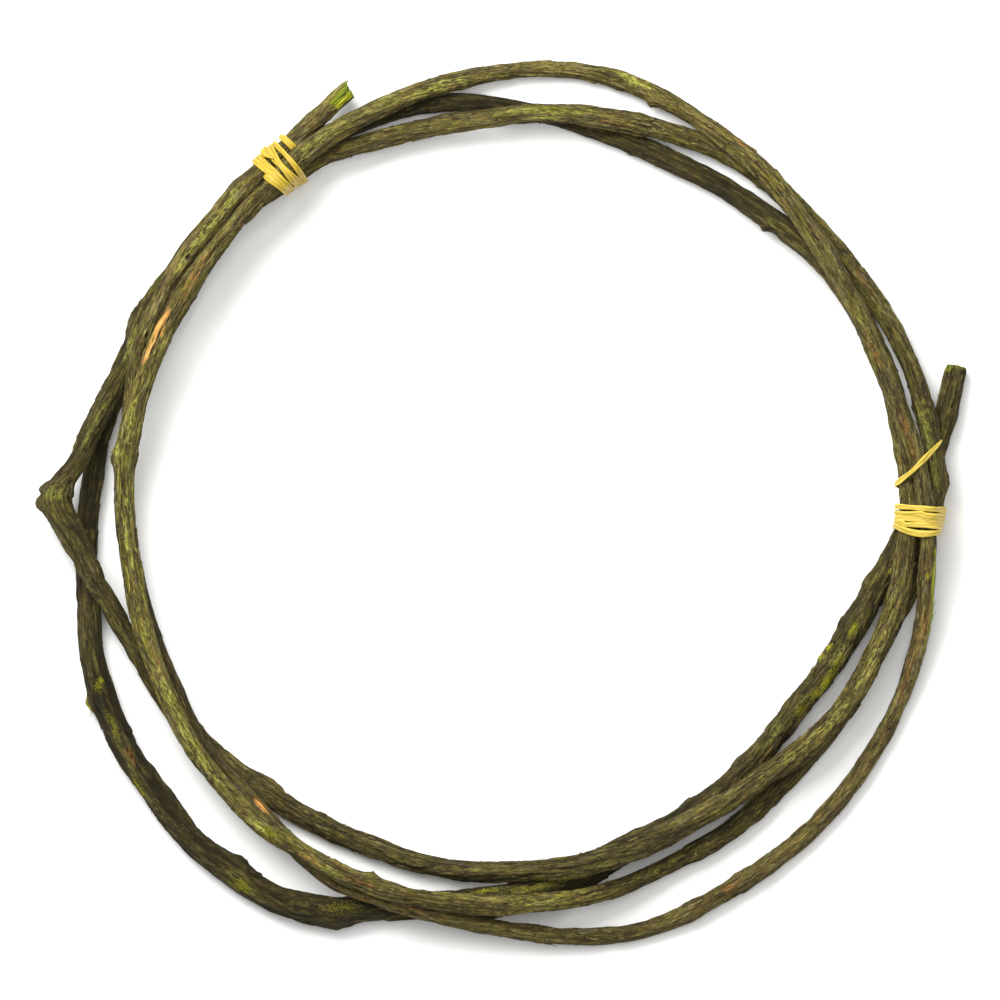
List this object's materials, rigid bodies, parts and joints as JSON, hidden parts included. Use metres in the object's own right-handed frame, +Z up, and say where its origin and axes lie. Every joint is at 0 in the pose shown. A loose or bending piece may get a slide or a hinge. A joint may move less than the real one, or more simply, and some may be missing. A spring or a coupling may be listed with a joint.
{
  "type": "vine coil",
  "caption": "Dry woody vine stem wound into a flat ring and held by raffia ties, lying flat, for wreaths, rustic decor or craft stock.",
  "frame": {"origin": "on the surface that the ring lies on, under the middle of its bounding box", "axes": "+X across the ring towards the thick cut end, +Y across the ring towards the long top bow, +Z up off the surface"},
  "size_m": [0.4656, 0.4424, 0.0395],
  "materials": {
    "vine_bark": "rough, fissured dry bark with grey-green lichen and bare wood at the scars",
    "raffia_left": "dry split raffia leaf, satin along the fibre",
    "raffia_right": "dry split raffia leaf, satin along the fibre"
  },
  "bodies": {
    "root": {"vine_stem": "vine_bark", "raffia_tie_left": "raffia_left", "raffia_tie_right": "raffia_right"}
  },
  "joints": []
}
